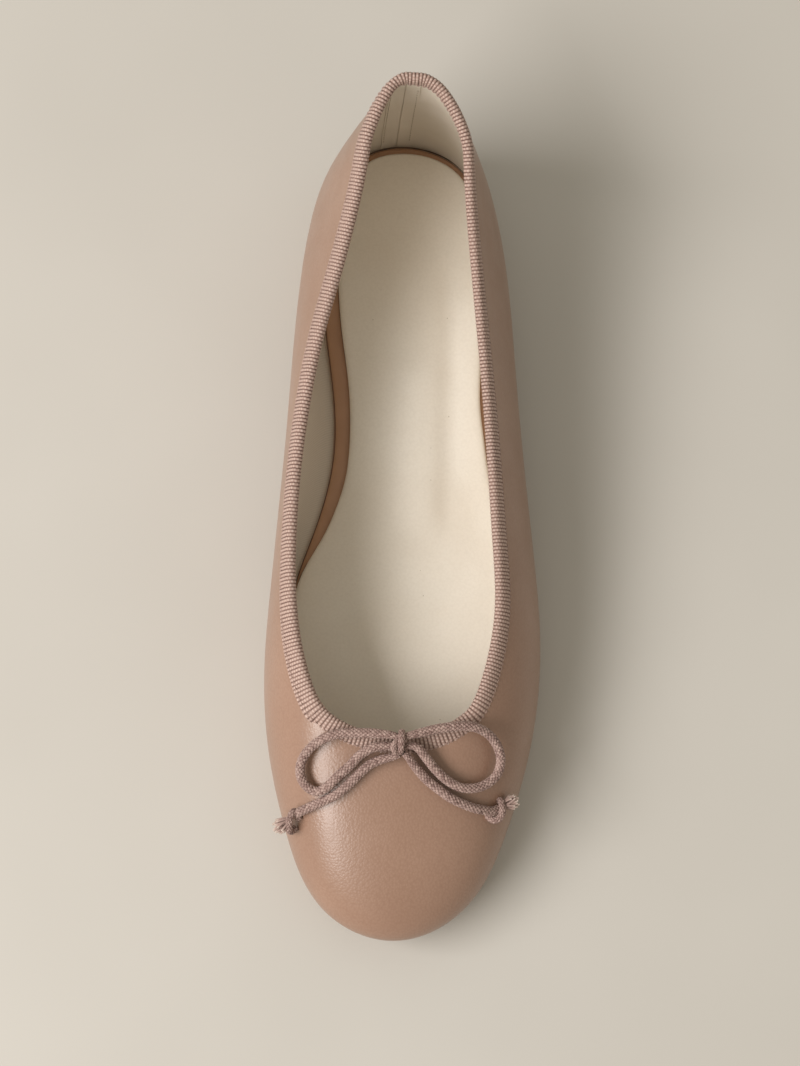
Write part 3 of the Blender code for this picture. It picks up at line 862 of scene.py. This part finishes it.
def make_light():
    """One large soft light from the inner side and a little ahead, and an even fill."""
    data = bpy.data.lights.new("window", "AREA")
    data.energy = WINDOW_POWER
    data.shape = "RECTANGLE"
    data.size, data.size_y = WINDOW_SIZE
    data.color = WINDOW_COLOUR
    window = link("window", data)
    window.location = WINDOW_PLACE
    window.rotation_euler = (-window.location).to_track_quat("-Z", "Y").to_euler()

    world = bpy.data.worlds.new("room")
    world.use_nodes = True
    air = world.node_tree.nodes["Background"].inputs
    air["Color"].default_value = FILL_COLOUR
    air["Strength"].default_value = FILL_STRENGTH
    bpy.context.scene.world = world
    bpy.context.scene.view_settings.view_transform = "Standard"


def make_floor():
    bpy.ops.object.select_all(action="DESELECT")
    bpy.ops.mesh.primitive_plane_add(size=FLOOR_SIZE)
    floor = bpy.context.object
    floor.name = "floor"
    paint = Finish("pale_floor", Roughness=0.6)
    clouds = paint.noise(90.0, 2.0)
    paint.colour(paint.shades(clouds, (0.3, (0.61, 0.58, 0.535)), (0.7, (0.64, 0.61, 0.565))))
    floor.data.materials.append(paint.material)


# The bow


def pinched(path, ends):
    """The radius of a cord along its path, drawn in at the ends that enter the knot."""
    run = run_along(path)
    gap = np.minimum(run, run[-1] - run) if ends == 2 else run
    return CORD_DIAMETER / 2 * (1.0 - PINCH * np.exp(-((gap / PINCH_REACH) ** 2)))


def make_cord(name, route, node, yarn, ends, rng):
    path = smooth_path(route, BRAID_STEP)
    strands = Strands()
    strands.braid(path, pinched(path, ends), rng)
    cord = hand_in(strands.finish(name), yarn, "bow_cord", node)


def make_knot(yarn, rng):
    strands = Strands()
    for route in (KNOT_BAND, KNOT_TUCK):
        strands.braid(smooth_path(route, BRAID_STEP), KNOT_RADIUS, rng)
    return hand_in(strands.finish("bow_knot_wrap"), yarn, "bow_cord", "bow_knot")


def make_stopper(name, wrap, tuft, node, yarn, rng):
    """A tail's end: the cord turned round itself, and its strands frayed into a round tuft."""
    strands = Strands()
    strands.braid(smooth_path(wrap, BRAID_STEP), STOPPER_CORD, rng)
    neck, middle = np.array(tuft, float)
    ahead = unit(middle - neck)
    side, up = path_frame(np.array([neck, middle]))
    along = np.linspace(0.0, 1.0, TUFT_POINTS)[:, None]
    tone = TUFT_DARKEST + (1.0 - TUFT_DARKEST) * along[:, 0]
    for _ in range(TUFT_STRANDS):
        angle = rng.uniform(0.0, 2 * np.pi)
        lean = rng.uniform(*TUFT_LEANS)
        outward = math.cos(angle) * side[0] + math.sin(angle) * up[0]
        sideways = math.cos(angle) * up[0] - math.sin(angle) * side[0]
        reach = math.sqrt(1.0 - lean * lean) * outward + lean * ahead
        size = TUFT_RADIUS * rng.uniform(*TUFT_SIZES)
        centres = neck + along * (middle - neck) + np.sin(along * np.pi / 2) * size * reach
        centres = centres + along**2 * rng.uniform(*TUFT_CURLS) * sideways
        strands.tube(centres, *path_frame(centres), TUFT_STRAND, TUFT_STRAND, THREAD_SIDES, tone)
    return hand_in(strands.finish(name), yarn, "bow_cord", node)


def make_bow():
    yarn = cord_yarn()
    rng = np.random.default_rng(YARN_SEED)
    knot = make_knot(yarn, rng)
    medial = make_stopper(
        "bow_stopper_medial", STOPPER_MEDIAL, TUFT_MEDIAL, "bow_end_medial", yarn, rng
    )
    lateral = make_stopper(
        "bow_stopper_lateral", STOPPER_LATERAL, TUFT_LATERAL, "bow_end_lateral", yarn, rng
    )
    make_cord("bow_cord_loop_medial", LOOP_MEDIAL, "bow_loop_medial", yarn, 2, rng)
    make_cord("bow_cord_loop_lateral", LOOP_LATERAL, "bow_loop_lateral", yarn, 2, rng)
    make_cord("bow_cord_tail_medial", TAIL_MEDIAL, "bow_tail_medial", yarn, 1, rng)
    make_cord("bow_cord_tail_lateral", TAIL_LATERAL, "bow_tail_lateral", yarn, 1, rng)


def make_upper():
    """The leather, with its arch at the heel and the groove of the seam down the middle of its back."""
    upper = node_copy("upper", "upper_leather")
    smooth(upper, 2)

    def is_arch(vertex):
        is_middle = abs(vertex.co.x - ARCH_MIDDLE * MM) < ARCH_HALF * MM
        return is_middle and vertex.co.y > BACK_Y * MM and vertex.co.z > ARCH_LOW * MM

    def is_back(face):
        return face.normal.y > BACK_SLOPE and face.calc_center_median().y > BACK_Y * MM

    def is_seam(vertex):
        is_middle = abs(vertex.co.x) < MERGE
        return is_middle and vertex.co.y > BACK_Y * MM and vertex.normal.y > BACK_SLOPE

    edit(upper)
    pick(upper, "VERT", is_arch)
    drag((0.0, ARCH_BACK, 0.0), ARCH_REACH)
    for x in (-BACK_SEAM_HALF, 0.0, BACK_SEAM_HALF):
        pick(upper, "FACE", is_back)
        bpy.ops.mesh.bisect(plane_co=mm((x, 0.0, 0.0)), plane_no=(1.0, 0.0, 0.0))
    pick(upper, "VERT", is_seam)
    bpy.ops.transform.shrink_fatten(value=-BACK_SEAM_DEEP * MM)
    done()
    shade(upper)
    return hand_in(upper, nude_leather(), "upper_leather", "upper")


# The topline tape


def section_at_heel(mesh):
    """The vertices of the tape's solid at the back of the heel, in order from its crest outwards."""

    def is_near(vertex):
        return abs(vertex.co.x) < TAPE_START_HALF * MM and vertex.co.y > TAPE_START_Y * MM

    near = [vertex for vertex in mesh.verts if is_near(vertex)]
    order = [max(near, key=lambda vertex: vertex.co.z)]
    while len(order) < len(near):
        beside = [edge.other_vert(order[-1]) for edge in order[-1].link_edges]
        beside = [vertex for vertex in beside if vertex in near and vertex not in order]
        order.append(max(beside, key=lambda vertex: vertex.co.y))
    return order


def ring_ahead(start):
    """The ring of vertices from one vertex straight on over the quads, towards +X first."""
    edge = max(start.link_edges, key=lambda e: (e.other_vert(start).co - start.co).normalized().x)
    ring = [start]
    while edge.other_vert(ring[-1]) != start:
        ring.append(edge.other_vert(ring[-1]))
        beside = set(edge.link_faces)
        edge = next(e for e in ring[-1].link_edges if not beside & set(e.link_faces))
    return ring


def tape_rails(solid):
    """Points of the tape's solid as stations by rows: each section is found from the one before it."""
    mesh = bmesh.new()
    mesh.from_mesh(solid.data)
    near = finder([vertex.co for vertex in mesh.verts])
    start = section_at_heel(mesh)
    section = [vertex.co.copy() for vertex in start]
    crest = [vertex.co.copy() for vertex in ring_ahead(start[TAPE_CREST])]
    mesh.free()
    ends = zip(crest[-1:] + crest[:-1], crest[1:] + crest[:1])
    headings = [(after - before).normalized() for before, after in ends]
    rails = [section]
    for i in range(1, len(crest)):
        turn = headings[i - 1].rotation_difference(headings[i])
        section = [near.find(crest[i] + turn @ (point - crest[i - 1]))[0] for point in section]
        rails.append(section)
    return np.array(rails) / MM


def even_stations(rails, count):
    """Rails read again at stations that are evenly spaced along the crest."""
    closed = np.concatenate([rails, rails[:1]])
    fine = np.stack([smooth_spans(closed[:, j]) for j in range(closed.shape[1])], axis=1)
    run = run_along(fine[:, TAPE_CREST])
    stops = np.linspace(0.0, run[-1], count, endpoint=False)
    flat = fine.reshape(len(fine), -1)
    even = np.column_stack([np.interp(stops, run, column) for column in flat.T])
    return even.reshape(count, -1, 3)


def pressed(rails):
    """Rails with both flaps closer to the leather between them, and the outer flap longer."""
    outer, inner = rails[:, TAPE_OUTER_ROWS[1]], rails[:, TAPE_INNER_ROWS[1]]
    facing = unit(outer - inner)
    away = np.einsum("ijk,ik->ij", rails - (outer + inner)[:, None] / 2, facing)
    closer = np.where(away > 0.0, 1.0 - PRESS_OUTER, 1.0 - PRESS_INNER) * away
    rails = rails - closer[..., None] * facing[:, None]
    above, end = TAPE_OUTER_ROWS
    down = unit(rails[:, end] - rails[:, above])
    rails[:, end:end + 2] += FLAP_LONGER * down[:, None]
    return rails


def arched(rails):
    """Rails drawn back at the heel with the leather that they sit on."""
    aside = np.maximum(np.abs(rails[..., 0] - ARCH_MIDDLE) - ARCH_HALF, 0.0)
    share = np.clip(1.0 - aside / ARCH_REACH, 0.0, 1.0) * (rails[..., 1] > BACK_Y)
    drawn = rails.copy()
    drawn[..., 1] += ARCH_BACK * share**2 * (3.0 - 2.0 * share)
    return drawn


def make_tape():
    """The folded tape with its cross ribs, and a row of stitches on each of its two flaps."""
    solid = node_copy("topline_binding", "tape_solid")
    rails = tape_rails(solid)
    bpy.data.objects.remove(solid)
    ribs = round(run_along(rails[:, TAPE_CREST])[-1] / RIB_PITCH)
    rails = arched(pressed(even_stations(rails, ribs * STATIONS_PER_RIB)))
    count, rows = rails.shape[:2]
    faces = []
    for i in range(count):
        ahead = (i + 1) % count
        for j in range(rows):
            side = (j + 1) % rows
            faces.append((i * rows + j, ahead * rows + j, ahead * rows + side, i * rows + side))
    mesh = bpy.data.meshes.new("topline_tape")
    mesh.from_pydata(rails.reshape(-1, 3) * MM, [], faces)
    tape = link("topline_tape", mesh)
    edit(tape)
    bpy.ops.mesh.normals_make_consistent(inside=False)
    done()
    smooth(tape, 1)

    path = even_stations(rails, count * CREST_PER_STATION)[:, TAPE_CREST]
    crest = finder([mm(point) for point in path])
    raised = tape.vertex_groups.new(name="ribs")
    heights = np.empty(len(tape.data.vertices))
    angles = np.empty(len(tape.data.vertices))
    for vertex in tape.data.vertices:
        _, i, away = crest.find(vertex.co)
        heights[vertex.index] = abs(math.sin(math.pi * ribs * i / len(path))) ** RIB_ROUND
        shift = math.pi * (ribs * i // len(path))
        angles[vertex.index] = 2 * math.pi * away / (BEAD_PITCH * MM) + shift
        raised.add([vertex.index], heights[vertex.index], "REPLACE")
    # the rib height, also read by the tape's material for its painted shade in the grooves
    tape.data.attributes.new("rib", "FLOAT", "POINT").data.foreach_set("value", heights)
    tape.data.attributes.new("warp", "FLOAT", "POINT").data.foreach_set("value", angles)
    apply_modifier(tape, "DISPLACE", strength=RIB_HEIGHT * MM, mid_level=0.0, vertex_group="ribs")
    shade(tape, 75.0)
    hand_in(tape, ribbed_tape(), "binding_tape", "topline_binding")

    surface = BVHTree.FromObject(tape, bpy.context.evaluated_depsgraph_get())
    threads = Strands()
    facing = unit(rails[:, TAPE_OUTER_ROWS[1]] - rails[:, TAPE_INNER_ROWS[1]])
    for (first, second), outward in ((TAPE_OUTER_ROWS, facing), (TAPE_INNER_ROWS, -facing)):
        line = (rails[:, first] + rails[:, second]) / 2
        seated = np.array([surface.find_nearest(mm(point))[0] / MM for point in line])
        over_ribs = range(-STATIONS_PER_RIB, STATIONS_PER_RIB + 1)
        seated = np.mean([np.roll(seated, k, axis=0) for k in over_ribs], axis=0)
        threads.stitches(seated, outward, *TAPE_STITCH)
    hand_in(threads.finish("tape_stitches"), thread(), "binding_tape")


# The lining


def inner_skin(upper, name, cuts):
    """The upper's inside as a sheet, trimmed by planes that keep what lies ahead of them."""
    sheet = link(name, upper.data.copy())
    sheet.data.materials.clear()
    back, front = (mm(end) for end in SPINE)
    run = front - back

    def faces_in(face):
        centre = face.calc_center_median()
        share = max(0.0, min(1.0, (centre - back).dot(run) / run.length_squared))
        outward = centre - (back + share * run)
        return face.normal.dot(outward) < 0.0

    edit(sheet)
    pick(sheet, "FACE", faces_in)
    bpy.ops.mesh.select_all(action="INVERT")
    bpy.ops.mesh.delete(type="FACE")
    for place, ahead in cuts:
        bpy.ops.mesh.select_all(action="SELECT")
        bpy.ops.mesh.bisect(plane_co=mm(place), plane_no=ahead, clear_inner=True)
    done()
    return sheet


def thicken(sheet, lift, thick):
    apply_modifier(sheet, "DISPLACE", strength=lift * MM, mid_level=0.0)
    apply_modifier(sheet, "SOLIDIFY", thickness=thick * MM, offset=1.0)
    shade(sheet)


def make_lining(upper):
    """Pale leather round the heel with a strip over its back seam, and twill along the waist and toe."""
    seam = (0.0, LINING_SEAM_Y, 0.0)
    heel = inner_skin(upper, "heel_lining", [(seam, (0.0, 1.0, 0.0))])
    waist = inner_skin(upper, "waist_lining", [(seam, (0.0, -1.0, 0.0))])
    thicken(heel, LINING_LIFT, LINING_THICK)
    thicken(waist, LINING_LIFT, LINING_THICK)
    leather = lining_leather()
    hand_in(heel, leather)
    hand_in(waist, lining_twill())

    threads = Strands()
    for side, (low, high) in BACK_STRIPS.items():
        cuts = [
            ((0.0, BACK_STRIP_Y, 0.0), (0.0, 1.0, 0.0)),
            ((low, 0.0, 0.0), (1.0, 0.0, 0.0)),
            ((high, 0.0, 0.0), (-1.0, 0.0, 0.0)),
        ]
        strip = inner_skin(upper, f"heel_back_strip_{side}", cuts)
        thicken(strip, LINING_LIFT + LINING_THICK, BACK_STRIP_THICK)
        hand_in(strip, leather)
        surface = BVHTree.FromObject(strip, bpy.context.evaluated_depsgraph_get())
        line = [mm((BACK_STITCHES[side], BACK_STRIP_Y, z)) for z in np.arange(*BACK_STITCH_HEIGHTS)]
        hits = [surface.ray_cast(point, Vector((0.0, 1.0, 0.0))) for point in line]
        row = np.array([hit[0] / MM for hit in hits if hit[0]])
        outward = np.array([hit[1] for hit in hits if hit[0]])
        threads.stitches(row, outward, *STRIP_STITCH)
    hand_in(threads.finish("heel_strip_stitches"), pale_thread())


# The footbed, sole and heel


def cut_across(obj, cuts):
    """Cuts every edge that runs from one side of a plate to the other."""
    edit(obj)
    pick(obj, "EDGE", lambda edge: edge.calc_length() > ACROSS_LENGTH * MM)
    bpy.ops.mesh.subdivide(number_cuts=cuts)
    done()


def make_footbed():
    """The board and the sock on it, and dark tubes of painted shade along the edges of both."""
    board = node_copy("insole_board", "insole_board_cover")
    cut_across(board, BOARD_CUTS)
    for places, push, reach in BOARD_EDGES:
        press(board, places, push, reach)
    rings = [plate_edge(board, 1)]
    smooth(board, 1)
    shade(board)
    hand_in(board, board_leather(), "board_cover", "insole_board")

    sock = node_copy("insole_sock", "insole_sock_cover")
    cut_across(sock, SOCK_CUTS)
    for places, push, reach in SOCK_EDGES:
        press(sock, places, push, reach)
    rings.append(plate_edge(sock, -1))
    smooth(sock, 1)
    for places, height, reach in SOCK_WAVES:
        press(sock, places, (0.0, 0.0, height), reach)
    shade(sock)
    hand_in(sock, sock_leather(), "sock_leather", "insole_sock")

    # dark tubes along the board's top edge and the sock's lower edge: painted shade of the gaps there
    edge_shade_lines = Strands()
    for ring in rings:
        path = smooth_path(ring, EDGE_SHADE_STEP)
        edge_shade_lines.tube(path, *path_frame(path), EDGE_SHADE_RADIUS, EDGE_SHADE_RADIUS, EDGE_SHADE_SIDES)
    hand_in(edge_shade_lines.finish("footbed_edge_shade"), painted_edge_shade())


def make_sole():
    """The sole with a sunk tread panel, and the heel with the line of its tip."""
    sole = node_copy("outsole", "outsole_tread")

    def runs_across(edge):
        is_flat = all(abs(face.normal.z) > FLAT_SLOPE for face in edge.link_faces)
        return is_flat and edge.calc_length() > ACROSS_LENGTH * MM

    def is_tread(face):
        beside = [other for vertex in face.verts for other in vertex.link_faces]
        is_flat = max(other.normal.z for other in beside) < -FLAT_SLOPE
        return is_flat and TREAD_Y[0] < face.calc_center_median().y / MM < TREAD_Y[1]

    edit(sole)
    pick(sole, "EDGE", runs_across)
    bpy.ops.mesh.subdivide(number_cuts=TREAD_CUTS)
    pick(sole, "FACE", lambda face: len(face.verts) > 4)
    bpy.ops.mesh.quads_convert_to_tris()
    pick(sole, "FACE", is_tread)
    bpy.ops.mesh.inset(thickness=TREAD_BEVEL * MM, depth=-TREAD_DEEP * MM, use_even_offset=False)
    done()
    shade(sole, 35.0)
    hand_in(sole, sole_rubber(), "sole_rubber", "outsole")

    heel = node_copy("heel", "heel_block")
    low, high = (height * MM for height in HEEL_TIP_LINE)

    def is_tip_line(face):
        return low < face.calc_center_median().z < high and abs(face.normal.z) < SIDE_SLOPE

    edit(heel)
    for height in HEEL_TIP_LINE:
        bpy.ops.mesh.select_all(action="SELECT")
        bpy.ops.mesh.bisect(plane_co=(0.0, 0.0, height * MM), plane_no=(0.0, 0.0, 1.0))
    pick(heel, "FACE", is_tip_line)
    bpy.ops.mesh.extrude_region_shrink_fatten(
        TRANSFORM_OT_shrink_fatten={"value": -HEEL_TIP_GROOVE * MM}
    )
    done()
    shade(heel, 35.0)
    hand_in(heel, heel_rubber(), "heel_rubber", "heel")


make_camera()
make_light()
make_floor()
make_bow()
upper_leather = make_upper()
make_tape()
make_lining(upper_leather)
make_footbed()
make_sole()
